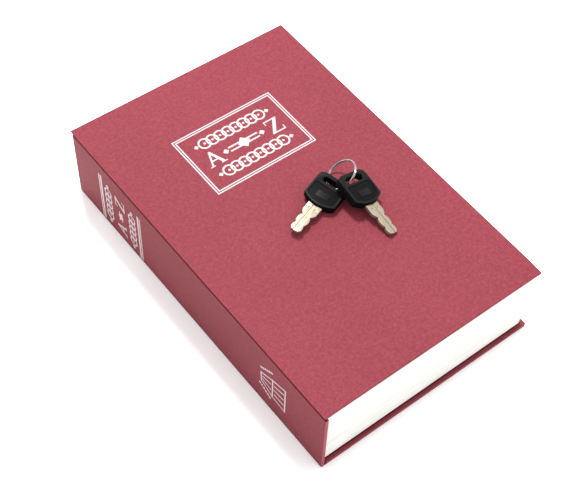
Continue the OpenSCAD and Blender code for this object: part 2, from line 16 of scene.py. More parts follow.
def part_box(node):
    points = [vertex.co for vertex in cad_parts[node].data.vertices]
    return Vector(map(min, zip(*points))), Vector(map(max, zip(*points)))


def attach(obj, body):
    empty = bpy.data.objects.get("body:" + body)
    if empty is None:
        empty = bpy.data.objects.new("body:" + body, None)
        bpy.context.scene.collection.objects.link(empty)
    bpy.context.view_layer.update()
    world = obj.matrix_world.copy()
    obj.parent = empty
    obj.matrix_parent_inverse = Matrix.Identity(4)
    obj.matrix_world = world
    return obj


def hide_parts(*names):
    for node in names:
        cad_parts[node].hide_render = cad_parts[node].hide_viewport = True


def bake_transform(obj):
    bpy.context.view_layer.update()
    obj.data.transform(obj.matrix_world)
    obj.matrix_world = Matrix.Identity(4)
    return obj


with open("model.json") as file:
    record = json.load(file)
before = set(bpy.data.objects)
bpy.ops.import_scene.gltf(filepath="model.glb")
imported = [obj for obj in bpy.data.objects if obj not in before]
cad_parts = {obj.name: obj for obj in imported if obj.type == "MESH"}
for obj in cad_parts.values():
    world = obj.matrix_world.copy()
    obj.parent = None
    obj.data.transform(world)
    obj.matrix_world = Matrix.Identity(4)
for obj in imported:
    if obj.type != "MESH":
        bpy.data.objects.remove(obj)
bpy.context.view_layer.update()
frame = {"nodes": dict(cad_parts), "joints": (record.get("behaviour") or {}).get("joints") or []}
MM = 0.001
scene = bpy.context.scene
random.seed(7)

# ---------------------------------------------------------------- camera, light, floor

CAMERA_AT = Vector((-299.2, -352.2, 630.0)) * MM
CAMERA_TURN = (36.00, -4.17, -39.37)        # degrees
LENS, SHIFT_X, SHIFT_Y = 80.73, -0.1267, 0.0329
FLOOR_WHITE = (0.95, 0.95, 0.95)
WORLD_BRIGHT, WORLD_DIM = 1.60, 0.80        # the room is dim only level with the book, spine side
KEY_AT, KEY_SIZE, KEY_POWER = (0.30, 0.68, 1.60), 0.28, 37.0    # a window beyond the head
FILL_AT, FILL_SIZE, FILL_POWER = (-0.45, 0.55, 0.25), 0.25, 0.7  # lifts the head end of the spine


def make_camera():
    data = bpy.data.cameras.new("camera")
    data.lens = LENS
    data.sensor_width = 36
    data.shift_x = SHIFT_X
    data.shift_y = SHIFT_Y
    data.clip_start = 0.05
    camera = bpy.data.objects.new("camera", data)
    camera.location = CAMERA_AT
    camera.rotation_euler = Euler([math.radians(a) for a in CAMERA_TURN])
    scene.collection.objects.link(camera)
    scene.camera = camera


def area_light(name, at, target, size, power):
    data = bpy.data.lights.new(name, "AREA")
    data.shape = "RECTANGLE"
    data.size, data.size_y = size
    data.energy = power
    light = bpy.data.objects.new(name, data)
    light.location = at
    light.rotation_euler = (Vector(target) - Vector(at)).to_track_quat("-Z", "Y").to_euler()
    scene.collection.objects.link(light)


def make_studio():
    world = bpy.data.worlds.new("studio")
    world.use_nodes = True
    nodes, links = world.node_tree.nodes, world.node_tree.links
    background = nodes["Background"]
    background.inputs["Color"].default_value = (1, 1, 1, 1)
    split = nodes.new("ShaderNodeSeparateXYZ")
    links.new(nodes.new("ShaderNodeTexCoord").outputs["Generated"], split.inputs["Vector"])
    links.new(scaled(nodes, links, split.outputs["X"], WORLD_DIM, WORLD_BRIGHT, -0.85, -0.15),
              background.inputs["Strength"])
    scene.world = world
    scene.view_settings.view_transform = "Standard"
    area_light("key_light", KEY_AT, (0, 0, 0.03), (KEY_SIZE, KEY_SIZE), KEY_POWER)
    area_light("fill_light", FILL_AT, (-0.07, 0.09, 0.03), (FILL_SIZE, FILL_SIZE), FILL_POWER)
    mesh = bpy.data.meshes.new("floor")
    mesh.from_pydata([(-6, -6, 0), (6, -6, 0), (6, 6, 0), (-6, 6, 0)], [], [(0, 1, 2, 3)])
    floor = bpy.data.objects.new("floor", mesh)
    scene.collection.objects.link(floor)
    mat, nodes, links, bsdf = new_material("floor", FLOOR_WHITE, 0.9)
    floor.data.materials.append(mat)


# ---------------------------------------------------------------- material helpers


def new_material(name, color, roughness, metallic=0.0):
    mat = bpy.data.materials.new(name)
    mat.use_nodes = True
    nodes = mat.node_tree.nodes
    links = mat.node_tree.links
    bsdf = nodes["Principled BSDF"]
    bsdf.inputs["Base Color"].default_value = (*color, 1)
    bsdf.inputs["Roughness"].default_value = roughness
    bsdf.inputs["Metallic"].default_value = metallic
    return mat, nodes, links, bsdf


def object_coords(nodes, links, stretch=(1, 1, 1)):
    """Object coordinates, stretched. Every object sits at the origin, so they are the frame's metres."""
    coord = nodes.new("ShaderNodeTexCoord")
    mapping = nodes.new("ShaderNodeMapping")
    mapping.inputs["Scale"].default_value = stretch
    links.new(coord.outputs["Object"], mapping.inputs["Vector"])
    return mapping.outputs["Vector"]


def noise(nodes, links, vector, per_mm, detail=3.0, roughness=0.55):
    tex = nodes.new("ShaderNodeTexNoise")
    tex.inputs["Scale"].default_value = per_mm / MM
    tex.inputs["Detail"].default_value = detail
    tex.inputs["Roughness"].default_value = roughness
    links.new(vector, tex.inputs["Vector"])
    return tex.outputs["Fac"]


def cells(nodes, links, vector, per_mm):
    tex = nodes.new("ShaderNodeTexVoronoi")
    tex.feature = "F1"
    tex.inputs["Scale"].default_value = per_mm / MM
    links.new(vector, tex.inputs["Vector"])
    return tex.outputs["Distance"]


def ramp(nodes, links, value, stops):
    """A colour ramp through (position, linear colour) stops."""
    node = nodes.new("ShaderNodeValToRGB")
    elements = node.color_ramp.elements
    elements[0].position, elements[0].color = stops[0][0], (*stops[0][1], 1)
    elements[1].position, elements[1].color = stops[-1][0], (*stops[-1][1], 1)
    for place, color in stops[1:-1]:
        extra = elements.new(place)
        extra.color = (*color, 1)
    links.new(value, node.inputs["Fac"])
    return node.outputs["Color"]


def blend_colors(nodes, links, factor, first, second, kind="MIX"):
    node = nodes.new("ShaderNodeMix")
    node.data_type = "RGBA"
    node.blend_type = kind
    for socket, value in (("Factor", factor), ("A", first), ("B", second)):
        slots = [s for s in node.inputs if s.name == socket and s.enabled]
        slot = slots[0]
        if isinstance(value, bpy.types.NodeSocket):
            links.new(value, slot)
        elif socket == "Factor":
            slot.default_value = value
        else:
            slot.default_value = (*value, 1)
    return [s for s in node.outputs if s.enabled][0]


def scaled(nodes, links, value, low, high, from_low=0.0, from_high=1.0):
    node = nodes.new("ShaderNodeMapRange")
    node.inputs["From Min"].default_value = from_low
    node.inputs["From Max"].default_value = from_high
    node.inputs["To Min"].default_value = low
    node.inputs["To Max"].default_value = high
    links.new(value, node.inputs["Value"])
    return node.outputs["Result"]


def bump(nodes, links, height, strength, depth_mm, normal=None):
    node = nodes.new("ShaderNodeBump")
    node.inputs["Strength"].default_value = strength
    node.inputs["Distance"].default_value = depth_mm * MM
    links.new(height, node.inputs["Height"])
    if normal is not None:
        links.new(normal, node.inputs["Normal"])
    return node.outputs["Normal"]


def soft_edges(nodes, radius_mm):
    """Normals rounded over a small radius, for CAD solids with sharp arrises."""
    node = nodes.new("ShaderNodeBevel")
    node.samples = 6
    node.inputs["Radius"].default_value = radius_mm * MM
    return node.outputs["Normal"]


def edge_mask(nodes, links, radius_mm, start=0.04, end=0.30):
    """1 on arrises and 0 on flats: how far the rounded normal leans from the true one."""
    rounded = soft_edges(nodes, radius_mm)
    geometry = nodes.new("ShaderNodeNewGeometry")
    dot = nodes.new("ShaderNodeVectorMath")
    dot.operation = "DOT_PRODUCT"
    links.new(rounded, dot.inputs[0])
    links.new(geometry.outputs["True Normal"], dot.inputs[1])
    return scaled(nodes, links, dot.outputs["Value"], 1.0, 0.0, 1 - end, 1 - start)


# ---------------------------------------------------------------- materials

COVER_RED = (0.178, 0.0272, 0.0379)
COVER_DARK = (0.135, 0.0185, 0.0270)
COVER_LIGHT = (0.222, 0.0400, 0.0540)
COVER_WORN = (0.280, 0.075, 0.090)
CREVICE_SHADE = (0.42, 0.24, 0.26)        # painted crevice shade: multiplies the cloth's colour in the joint along the spine
SPINE_END_PAINTED_LIGHT = (1.6, 2.3, 2.1)         # painted light: multiplies it to pale the spine's ends, as faces that catch the light


def cover_cloth(name="cover_cloth", shade=(1, 1, 1), worn=0.55):
    """Book covering: a fine mottled grain, a faint emboss, and paler worn arrises."""
    mat, nodes, links, bsdf = new_material(name, COVER_RED, 0.62)
    at = object_coords(nodes, links)
    mottle = noise(nodes, links, at, 0.55, detail=6.0, roughness=0.75)
    grain = noise(nodes, links, at, 2.2, detail=4.0, roughness=0.7)
    broad = noise(nodes, links, at, 0.012, detail=2.0)
    tone = ramp(nodes, links, mottle, [(0.30, COVER_DARK), (0.5, COVER_RED), (0.72, COVER_LIGHT)])
    speck = ramp(nodes, links, grain, [(0.30, (0.68, 0.65, 0.65)), (0.68, (1.24, 1.30, 1.30))])
    tone = blend_colors(nodes, links, 0.75, tone, speck, "MULTIPLY")
    fade = ramp(nodes, links, broad, [(0.3, (0.95, 0.94, 0.94)), (0.7, (1.04, 1.05, 1.05))])
    tone = blend_colors(nodes, links, 1.0, tone, fade, "MULTIPLY")
    # A shade other than white makes a painted copy of the cloth: darkened for crevice shade, brightened
    # for the lit spine ends.
    if shade != (1, 1, 1):
        tone = blend_colors(nodes, links, 1.0, tone, shade, "MULTIPLY")
    rub = noise(nodes, links, at, 0.25, detail=5.0, roughness=0.8)
    mask = edge_mask(nodes, links, 0.7)
    broken = nodes.new("ShaderNodeMath")
    broken.operation = "MULTIPLY"
    links.new(mask, broken.inputs[0])
    links.new(scaled(nodes, links, rub, 0.25 * worn, worn, 0.35, 0.62), broken.inputs[1])
    tone = blend_colors(nodes, links, broken.outputs["Value"], tone, COVER_WORN)
    links.new(tone, bsdf.inputs["Base Color"])
    links.new(scaled(nodes, links, mottle, 0.54, 0.72), bsdf.inputs["Roughness"])
    fine = bump(nodes, links, grain, 0.35, 0.05)
    links.new(bump(nodes, links, mottle, 0.25, 0.12, fine), bsdf.inputs["Normal"])
    bsdf.inputs["Specular IOR Level"].default_value = 0.10
    return mat


def greyboard():
    mat, nodes, links, bsdf = new_material("greyboard", (0.30, 0.28, 0.25), 0.85)
    at = object_coords(nodes, links, (1, 1, 4))
    fibre = noise(nodes, links, at, 1.2, detail=6.0, roughness=0.75)
    tone = ramp(nodes, links, fibre, [(0.3, (0.22, 0.205, 0.18)), (0.7, (0.40, 0.375, 0.335))])
    links.new(tone, bsdf.inputs["Base Color"])
    links.new(bump(nodes, links, fibre, 0.5, 0.08), bsdf.inputs["Normal"])
    return mat


def endpaper():
    mat, nodes, links, bsdf = new_material("endpaper", (0.80, 0.77, 0.69), 0.8)
    at = object_coords(nodes, links)
    fibre = noise(nodes, links, at, 0.8, detail=7.0, roughness=0.7)
    cloud = noise(nodes, links, at, 0.03, detail=3.0)
    tone = ramp(nodes, links, fibre, [(0.3, (0.335, 0.29, 0.215)), (0.7, (0.42, 0.375, 0.295))])
    age = ramp(nodes, links, cloud, [(0.3, (0.92, 0.89, 0.84)), (0.7, (1.0, 1.0, 1.0))])
    links.new(blend_colors(nodes, links, 1.0, tone, age, "MULTIPLY"), bsdf.inputs["Base Color"])
    links.new(bump(nodes, links, fibre, 0.3, 0.04), bsdf.inputs["Normal"])
    return mat


def foil():
    """Pale blocking foil, pressed on: slightly broken where the grain shows through."""
    mat, nodes, links, bsdf = new_material("foil", (0.42, 0.36, 0.36), 0.42, 0.0)
    at = object_coords(nodes, links)
    grain = noise(nodes, links, at, 1.4, detail=4.0, roughness=0.7)
    worn = ramp(nodes, links, grain, [(0.28, (0.27, 0.14, 0.15)), (0.45, (0.42, 0.36, 0.36))])
    links.new(worn, bsdf.inputs["Base Color"])
    links.new(scaled(nodes, links, grain, 0.32, 0.55), bsdf.inputs["Roughness"])
    links.new(bump(nodes, links, grain, 0.3, 0.04), bsdf.inputs["Normal"])
    bsdf.inputs["Specular IOR Level"].default_value = 0.35
    return mat


def page_plastic():
    """White moulding, ribbed like leaves of paper: fine lines lie level round the three open sides."""
    mat, nodes, links, bsdf = new_material("page_plastic", (0.88, 0.87, 0.83), 0.55)
    at = object_coords(nodes, links, (0.02, 0.02, 1.0))
    lines = noise(nodes, links, at, 2.6, detail=5.0, roughness=0.8)
    tone = ramp(nodes, links, lines, [(0.3, (0.46, 0.445, 0.41)), (0.5, (0.66, 0.65, 0.625)),
                                      (0.75, (0.73, 0.72, 0.70))])
    links.new(tone, bsdf.inputs["Base Color"])
    links.new(bump(nodes, links, lines, 0.35, 0.08), bsdf.inputs["Normal"])
    return mat


def moulded_white():
    """The block's own walls and deck: plain white plastic with a light spark-eroded texture."""
    mat, nodes, links, bsdf = new_material("moulded_white", (0.86, 0.85, 0.82), 0.5)
    at = object_coords(nodes, links)
    texture = noise(nodes, links, at, 1.8, detail=4.0, roughness=0.6)
    tone = ramp(nodes, links, texture, [(0.3, (0.42, 0.415, 0.40)), (0.7, (0.49, 0.485, 0.47))])
    links.new(tone, bsdf.inputs["Base Color"])
    links.new(bump(nodes, links, texture, 0.25, 0.05, soft_edges(nodes, 0.4)), bsdf.inputs["Normal"])
    links.new(scaled(nodes, links, texture, 0.42, 0.6), bsdf.inputs["Roughness"])
    return mat


def powder_coat():
    """Black powder coat: orange peel, with bare grey rubbed through on the arrises."""
    mat, nodes, links, bsdf = new_material("powder_coat", (0.022, 0.022, 0.025), 0.45)
    at = object_coords(nodes, links)
    peel = noise(nodes, links, at, 0.9, detail=2.0, roughness=0.5)
    dust = noise(nodes, links, at, 0.05, detail=5.0, roughness=0.7)
    tone = ramp(nodes, links, dust, [(0.35, (0.009, 0.009, 0.010)), (0.72, (0.020, 0.020, 0.022))])
    mask = edge_mask(nodes, links, 0.35, 0.10, 0.35)
    rub = nodes.new("ShaderNodeMath")
    rub.operation = "MULTIPLY"
    links.new(mask, rub.inputs[0])
    links.new(scaled(nodes, links, dust, 0.0, 0.7, 0.45, 0.7), rub.inputs[1])
    tone = blend_colors(nodes, links, rub.outputs["Value"], tone, (0.16, 0.16, 0.165))
    links.new(tone, bsdf.inputs["Base Color"])
    bsdf.inputs["Specular IOR Level"].default_value = 0.25
    links.new(scaled(nodes, links, dust, 0.36, 0.55), bsdf.inputs["Roughness"])
    links.new(bump(nodes, links, peel, 0.35, 0.10, soft_edges(nodes, 0.3)), bsdf.inputs["Normal"])
    return mat


def metal(name, color, dark, roughness, grain=(1, 1, 1), per_mm=1.2, edge=0.2, depth=0.02):
    """A bare metal: mottled plate or, with a stretched grain, brushed or turned lines."""
    mat, nodes, links, bsdf = new_material(name, color, roughness, 1.0)
    at = object_coords(nodes, links, grain)
    lines = noise(nodes, links, at, per_mm, detail=5.0, roughness=0.65)
    patch = noise(nodes, links, object_coords(nodes, links), 0.15, detail=3.0)
    tone = ramp(nodes, links, lines, [(0.3, dark), (0.65, color)])
    links.new(tone, bsdf.inputs["Base Color"])
    links.new(scaled(nodes, links, patch, roughness * 0.75, roughness * 1.35), bsdf.inputs["Roughness"])
    links.new(bump(nodes, links, lines, 0.3, depth, soft_edges(nodes, edge)), bsdf.inputs["Normal"])
    return mat


def zinc_plate():
    """Bright zinc plate: faint spangle cells under a bluish sheen."""
    mat, nodes, links, bsdf = new_material("zinc_plate", (0.62, 0.63, 0.65), 0.32, 1.0)
    at = object_coords(nodes, links)
    spangle = cells(nodes, links, at, 0.35)
    haze = noise(nodes, links, at, 0.5, detail=5.0, roughness=0.7)
    tone = ramp(nodes, links, haze, [(0.3, (0.50, 0.51, 0.53)), (0.7, (0.70, 0.71, 0.72))])
    links.new(tone, bsdf.inputs["Base Color"])
    links.new(scaled(nodes, links, spangle, 0.24, 0.42), bsdf.inputs["Roughness"])
    links.new(bump(nodes, links, haze, 0.25, 0.03, soft_edges(nodes, 0.2)), bsdf.inputs["Normal"])
    return mat


def grip_plastic(pebbled):
    """Black injection moulding; the sunken panels are pebbled, the rims are smooth."""
    name = "grip_pebbled" if pebbled else "grip_smooth"
    mat, nodes, links, bsdf = new_material(name, (0.012, 0.012, 0.013), 0.38)
    at = object_coords(nodes, links)
    size, depth = (2.2, 0.14) if pebbled else (3.0, 0.02)
    texture = noise(nodes, links, at, size, detail=2.0, roughness=0.5)
    tone = ramp(nodes, links, texture, [(0.35, (0.002, 0.002, 0.002)), (0.7, (0.006, 0.006, 0.006))])
    links.new(tone, bsdf.inputs["Base Color"])
    bsdf.inputs["Specular IOR Level"].default_value = 0.04 if pebbled else 0.11
    links.new(scaled(nodes, links, texture, 0.40 if pebbled else 0.26, 0.60 if pebbled else 0.40),
              bsdf.inputs["Roughness"])
    links.new(bump(nodes, links, texture, 0.7 if pebbled else 0.2, depth), bsdf.inputs["Normal"])
    return mat


def blade_nickel():
    """Satin nickel over brass, a little warm, with fine milling lines along the blade."""
    mat, nodes, links, bsdf = new_material("blade_nickel", (0.35, 0.29, 0.23), 0.34, 0.85)
    at = object_coords(nodes, links)
    milling = noise(nodes, links, at, 2.4, detail=6.0, roughness=0.75)
    haze = noise(nodes, links, at, 0.3, detail=3.0)
    tone = ramp(nodes, links, milling, [(0.25, (0.17, 0.145, 0.10)), (0.55, (0.33, 0.285, 0.22))])
    links.new(tone, bsdf.inputs["Base Color"])
    links.new(scaled(nodes, links, haze, 0.38, 0.56), bsdf.inputs["Roughness"])
    links.new(bump(nodes, links, milling, 0.25, 0.02), bsdf.inputs["Normal"])
    return mat


# ---------------------------------------------------------------- mesh helpers


def add_mesh(name, verts, faces, material, body, stands_for=(), smooth=True):
    """A closed mesh as a new piece that rides on a body and takes the given material."""
    mesh = bpy.data.meshes.new(name)
    mesh.from_pydata([tuple(v) for v in verts], [], faces)
    mesh.validate()
    work = bmesh.new()
    work.from_mesh(mesh)
    bmesh.ops.recalc_face_normals(work, faces=work.faces)
    work.to_mesh(mesh)
    work.free()
    piece = bpy.data.objects.new(name, mesh)
    scene.collection.objects.link(piece)
    mesh.materials.append(material)
    for polygon in mesh.polygons:
        polygon.use_smooth = smooth
    if body:
        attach(piece, body)
    if stands_for:
        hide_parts(*stands_for)
    return piece


def round_arrises(piece, width_mm, segments=3, angle=35):
    """Rounds the piece's sharp edges and keeps its flats flat."""
    bevel = piece.modifiers.new("arris", "BEVEL")
    bevel.width = width_mm * MM
    bevel.segments = segments
    bevel.limit_method = "ANGLE"
    bevel.angle_limit = math.radians(angle)
    bevel.harden_normals = True
    bevel.use_clamp_overlap = True


def prism(outline, low, high, axis):
    """Vertices and faces of an outline (pairs in the other two axes) drawn out along an axis."""
    count = len(outline)
    verts = []
    for level in (low, high):
        for a, b in outline:
            verts.append({"X": (level, a, b), "Y": (a, level, b), "Z": (a, b, level)}[axis])
    faces = [tuple(range(count)), tuple(range(2 * count - 1, count - 1, -1))]
    for k in range(count):
        nxt = (k + 1) % count
        faces.append((k, count + k, count + nxt, nxt))
    return verts, faces


def grid_box(low, high, cuts):
    """A box whose faces are divided, so that it can be bent a little."""
    work = bmesh.new()
    bmesh.ops.create_cube(work, size=1.0)
    size = [h - l for l, h in zip(low, high)]
    middle = [(h + l) / 2 for l, h in zip(low, high)]
    for v in work.verts:
        v.co = Vector([c * s + m for c, s, m in zip(v.co, size, middle)])
    for axis in range(3):
        step = size[axis] / cuts[axis]
        normal = Vector([1.0 if k == axis else 0.0 for k in range(3)])
        for k in range(1, cuts[axis]):
            point = Vector(middle)
            point[axis] = low[axis] + k * step
            geometry = work.verts[:] + work.edges[:] + work.faces[:]
            bmesh.ops.bisect_plane(work, geom=geometry, plane_co=point, plane_no=normal)
    verts = [v.co.copy() for v in work.verts]
    work.verts.index_update()
    faces = [tuple(v.index for v in f.verts) for f in work.faces]
    work.free()
    return verts, faces


# ---------------------------------------------------------------- covers and spine

LIP = 0.3                   # mm of plain edge above the joint along the spine, whose cloth carries painted shade
UNDERCUT = (1.0, 0.35)      # mm the edge below it is set back, at its foot and part way up
UNDERCUT_LEVEL = 0.9        # mm above the foot
CORNER_DROOP = 0.7          # mm the tail fore-edge corner has sagged
DROOP_REACH = 14.0          # mm from the corner to where the sag starts
SLIT_FOOT = 0.5             # mm of cloth under the slit between spine and back cover
SPINE_FOOT = 1.0            # mm radius of the spine's rounded foot
JOINT_SAG = 0.5             # mm the cloth joint bows inwards
JOINT_THICK = 0.3
JOINT_STEPS, JOINT_ROWS = 10, 24
FOLD_REACH, FOLD_LIFT, FOLD_INSET = 2.7, 0.12, 0.9


def droop(v):
    """Lowers a point of the front cover near the corner that has been bent down."""
    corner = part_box("front_cloth")
    away = math.hypot(v.x - corner[1].x, v.y - corner[0].y) / MM
    v.z -= CORNER_DROOP * MM * max(0.0, 1 - away / DROOP_REACH) ** 2


def front_cover():
    """The covered front board: a thin lip along the spine, undercut where the cloth joint starts."""
    low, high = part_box("front_cloth")
    verts, faces = grid_box(low, high, (62, 96, 3))
    third = (high.z - low.z) / 3
    for v in verts:
        level = round((v.z - low.z) / third)
        if v.x < low.x + 0.01 * MM:
            v.z = (low.z, low.z + UNDERCUT_LEVEL * MM, high.z - LIP * MM, high.z)[level]
            v.x += (*UNDERCUT, 0.0, 0.0)[level] * MM
        droop(v)
    piece = add_mesh("front_cover_cloth", verts, faces, MATERIALS["cover_cloth"],
                     "front_cover", ["front_cloth"])
    # The undercut edge below the lip is painted with crevice shade: it takes the joint's darkened cloth.
    piece.data.materials.append(MATERIALS["joint_cloth_painted_shade"])
    for polygon in piece.data.polygons:
        if polygon.normal.x < -0.2 and polygon.center.z < high.z - LIP * MM:
            polygon.material_index = 1
    round_arrises(piece, 0.25)


def front_inside():
    """The board and the endpaper of the front cover, bent with it at the corner."""
    for node, name, finish in (("front_board", "front_cover_board", "greyboard"),
                               ("front_endpaper", "front_cover_endpaper", "endpaper")):
        low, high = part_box(node)
        if node == "front_board":
            low.x += 1.6 * MM
        verts, faces = grid_box(low, high, (31, 48, 1))
        for v in verts:
            droop(v)
        piece = add_mesh(name, verts, faces, MATERIALS[finish], "front_cover", [node])
        round_arrises(piece, 0.06, 2)


def turn_in_folds():
    """Mitred folds of the covering at the two fore-edge corners inside the front cover."""
    low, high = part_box("front_cloth")
    reach, lift, inset = FOLD_REACH * MM, FOLD_LIFT * MM, FOLD_INSET * MM
    verts, faces = [], []
    for y, inward in ((low.y, 1), (high.y, -1)):
        base = len(verts)
        corner = Vector((high.x - inset, y + inward * inset, low.z + 0.02 * MM))
        flap = [corner, corner - Vector((reach, 0, 0)), corner + Vector((0, inward * reach, 0))]
        verts += flap + [p - Vector((0, 0, lift)) for p in flap]
        faces += [(base, base + 1, base + 2), (base + 5, base + 4, base + 3)]
        for k in range(3):
            n = (k + 1) % 3
            faces.append((base + k, base + 3 + k, base + 3 + n, base + n))
    add_mesh("front_turn_in_folds", verts, faces, MATERIALS["cover_cloth"], "front_cover",
             smooth=False)


def rear_case():
    """One sheet of covering round the spine board and the back board, drawn out along the spine."""
    low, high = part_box("rear_cloth")
    back_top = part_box("back_endpaper")[1].z - 0.2 * MM
    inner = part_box("page_block")[0].x - 0.1 * MM
    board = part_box("back_board")[0].x - 0.05 * MM
    slit_foot = SLIT_FOOT * MM
    foot = SPINE_FOOT * MM
    outline = [(high.x, low.z), (high.x, back_top), (board, back_top), (board, slit_foot),
               (inner, slit_foot), (inner, high.z), (low.x, high.z)]
    for k in range(6):
        a = math.radians(180 + 18 * k)
        outline.append((low.x + foot + foot * math.cos(a), low.z + foot + foot * math.sin(a)))
    verts, faces = prism(outline, low.y, high.y, "Y")
    count, last = len(outline), len(outline) - 1
    ends = [(0, 1, 2, 3, 4, last), tuple(range(4, count))]
    faces = ends + [tuple(count + k for k in reversed(end)) for end in ends] + faces[2:]
    piece = add_mesh("rear_case_cloth", verts, faces, MATERIALS["cover_cloth"], "case",
                     ["rear_cloth"])
    # The spine's two end faces take a copy of the cloth brightened with painted light.
    piece.data.materials.append(MATERIALS["spine_end_painted_light"])
    for polygon in piece.data.polygons:
        if abs(polygon.normal.y) > 0.9 and polygon.center.x < inner:
            polygon.material_index = 1
    round_arrises(piece, 0.32, 2)


def joint_cloth_painted_shade():
    """The hinge of covering between the spine's top edge and the front cover's lower edge."""
    cover_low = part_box("front_cloth")[0]
    spine_low, spine_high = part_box("rear_cloth")
    length = spine_high.y - 0.15 * MM
    start = Vector((spine_low.x + 0.3 * MM, spine_high.z - 0.1 * MM))
    end = Vector((cover_low.x + 1.4 * MM, cover_low.z + 0.3 * MM))
    centre = []
    for k in range(JOINT_STEPS + 1):
        t = k / JOINT_STEPS
        place = start.lerp(end, t)
        place.x += JOINT_SAG * MM * math.sin(math.pi * t)
        centre.append(place)
    outline = []
    for side in (1, -1):
        points = centre if side > 0 else list(reversed(centre))
        outline += [(p.x + side * JOINT_THICK * MM / 2, p.y) for p in points]
    verts, faces = [], []
    rows, count = JOINT_ROWS, len(outline)
    for r in range(rows + 1):
        y = -length + 2 * length * r / rows
        verts += [Vector((a, y, b)) for a, b in outline]
    for r in range(rows):
        for k in range(count):
            n = (k + 1) % count
            faces.append((r * count + k, r * count + n, (r + 1) * count + n, (r + 1) * count + k))
    faces.append(tuple(range(count)))
    faces.append(tuple(rows * count + k for k in reversed(range(count))))
    # The hinge wears the cloth darkened with painted crevice shade.
    piece = add_mesh("joint_cloth_painted_shade", verts, faces, MATERIALS["joint_cloth_painted_shade"], None,
                     ["joint_strip"])
    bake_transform(piece)


# ---------------------------------------------------------------- page edges

LEAF_PITCH = 0.62           # mm between the moulded leaf lines
LEAF_DEPTH = 0.16
LEAF_PROUD, LEAF_WOBBLE = 0.20, 0.03    # mm a leaf stands out from the block, and how unevenly
SKIN_LAP = 0.6              # mm the ribbed skin reaches into the block
SKIN_START = 0.3            # mm from the block's spine side
BLOCK_CORNER = 0.9          # mm radius of the block's fore-edge corners
# Where the painted shadow strip at the block's foot starts, and how high it stands (mm).
SEAM_START, SEAM_TOP = 0.4, 0.15


def page_edges():
    """The moulded leaves: a ribbed skin round head, fore-edge and tail of the page block."""
    low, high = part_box("page_block")
    corner = BLOCK_CORNER * MM
    arc_steps = 5
    levels = int((high.z - low.z) / (LEAF_PITCH * MM)) * 2
    corners = [(high.x - corner, low.y + corner, -90), (high.x - corner, high.y - corner, 0)]

    def course(out):
        """Points along tail, fore-edge and head at a distance outside the block."""
        points = [(low.x + SKIN_START * MM, low.y - out)]
        for cx, cy, start in corners:
            for k in range(arc_steps + 1):
                a = math.radians(start + 90 * k / arc_steps)
                points.append((cx + (corner + out) * math.cos(a), cy + (corner + out) * math.sin(a)))
        points.append((low.x + SKIN_START * MM, high.y + out))
        return points

    verts, faces = [], []
    span = len(course(0))
    for k in range(levels + 1):
        z = low.z + (high.z - low.z) * k / levels
        if k % 2:
            proud = LEAF_PROUD + random.uniform(-LEAF_WOBBLE, LEAF_WOBBLE)
        else:
            proud = LEAF_PROUD - LEAF_DEPTH * random.uniform(0.6, 1.0)
        verts += [(x, y, z) for x, y in course(proud * MM)]
    inner = len(verts)
    for z in (low.z, high.z):
        verts += [(x, y, z) for x, y in course(-SKIN_LAP * MM)]
    for k in range(levels):
        for p in range(span - 1):
            a = k * span + p
            faces.append((a, a + 1, a + span + 1, a + span))
    top = levels * span
    for p in range(span - 1):
        faces.append((inner + p, inner + span + p, inner + span + p + 1, inner + p + 1))
        faces.append((p + 1, p, inner + p, inner + p + 1))
        faces.append((top + p, top + p + 1, inner + span + p + 1, inner + span + p))
    for p in (0, span - 1):
        rim = [k * span + p for k in range(levels + 1)]
        faces.append(tuple(rim + [inner + span + p, inner + p]))
    add_mesh("page_edges", verts, faces, MATERIALS["page_plastic"], "case",
             smooth=False)


def block_foot_painted_shadow():
    """A dark strip of painted shadow round the foot of the page block, on its three open sides."""
    low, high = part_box("page_block")
    corner = BLOCK_CORNER * MM
    path = [(low.x + SEAM_START * MM, low.y)]
    centre_x = high.x - corner
    for cx, cy, start in ((centre_x, low.y + corner, -90), (centre_x, high.y - corner, 0)):
        for k in range(6):
            a = math.radians(start + 18 * k)
            path.append((cx + corner * math.cos(a), cy + corner * math.sin(a)))
    path.append((low.x + SEAM_START * MM, high.y))
    section = [(-0.5, -0.02), (0.95, -0.02), (0.8, 0.08), (0.3, SEAM_TOP), (-0.5, SEAM_TOP)]
    verts, faces = [], []
    count = len(section)
    for n, (x, y) in enumerate(path):
        before = Vector(path[max(0, n - 1)])
        after = Vector(path[min(len(path) - 1, n + 1)])
        along = (after - before).normalized()
        out = Vector((along.y, -along.x))
        for reach, rise in section:
            place = Vector((x, y)) + out * reach * MM
            verts.append(Vector((place.x, place.y, low.z + rise * MM)))
    for n in range(len(path) - 1):
        for k in range(count):
            m = (k + 1) % count
            faces.append((n * count + k, n * count + m, (n + 1) * count + m, (n + 1) * count + k))
    faces.append(tuple(range(count)))
    faces.append(tuple((len(path) - 1) * count + k for k in reversed(range(count))))
    add_mesh("block_foot_painted_shadow", verts, faces, MATERIALS["joint_cloth_painted_shade"], "case")


# ---------------------------------------------------------------- keys and ring

# Sizes in mm, and each key's place and turns (yaw, pitch, roll) in degrees.
GRIP_W, GRIP_L, GRIP_T = 20.4, 22.2, 5.2
GRIP_CORNER, GRIP_FOOT = 4.0, 15.4
SLOT_L, SLOT_W, SLOT_Y = 12.6, 4.2, 17.6
BLADE_L, BLADE_T, BLADE_HALF = 21.8, 2.0, 4.5
PANEL_DEPTH = 0.4
DOT_X, DOT_S, DOT_R = 1.9, 3.4, 0.5    # punched dots beside the groove, by the shoulder
RING_R = 9.9
RING_SEAM = 200             # degrees: where the ring's ends lie, away from both keys
KEYS = {
    "a": ((2.05, -10.95, 59.02), (-71.2, -0.2, 7.6)),
    "b": ((27.2, -29.7, 60.76), (-1.2, 11.1, 15.2)),
}


def arc(cx, cy, r, start, end, steps):
    turns = [math.radians(start + (end - start) * k / steps) for k in range(steps + 1)]
    return [(cx + r * math.cos(a), cy + r * math.sin(a)) for a in turns]


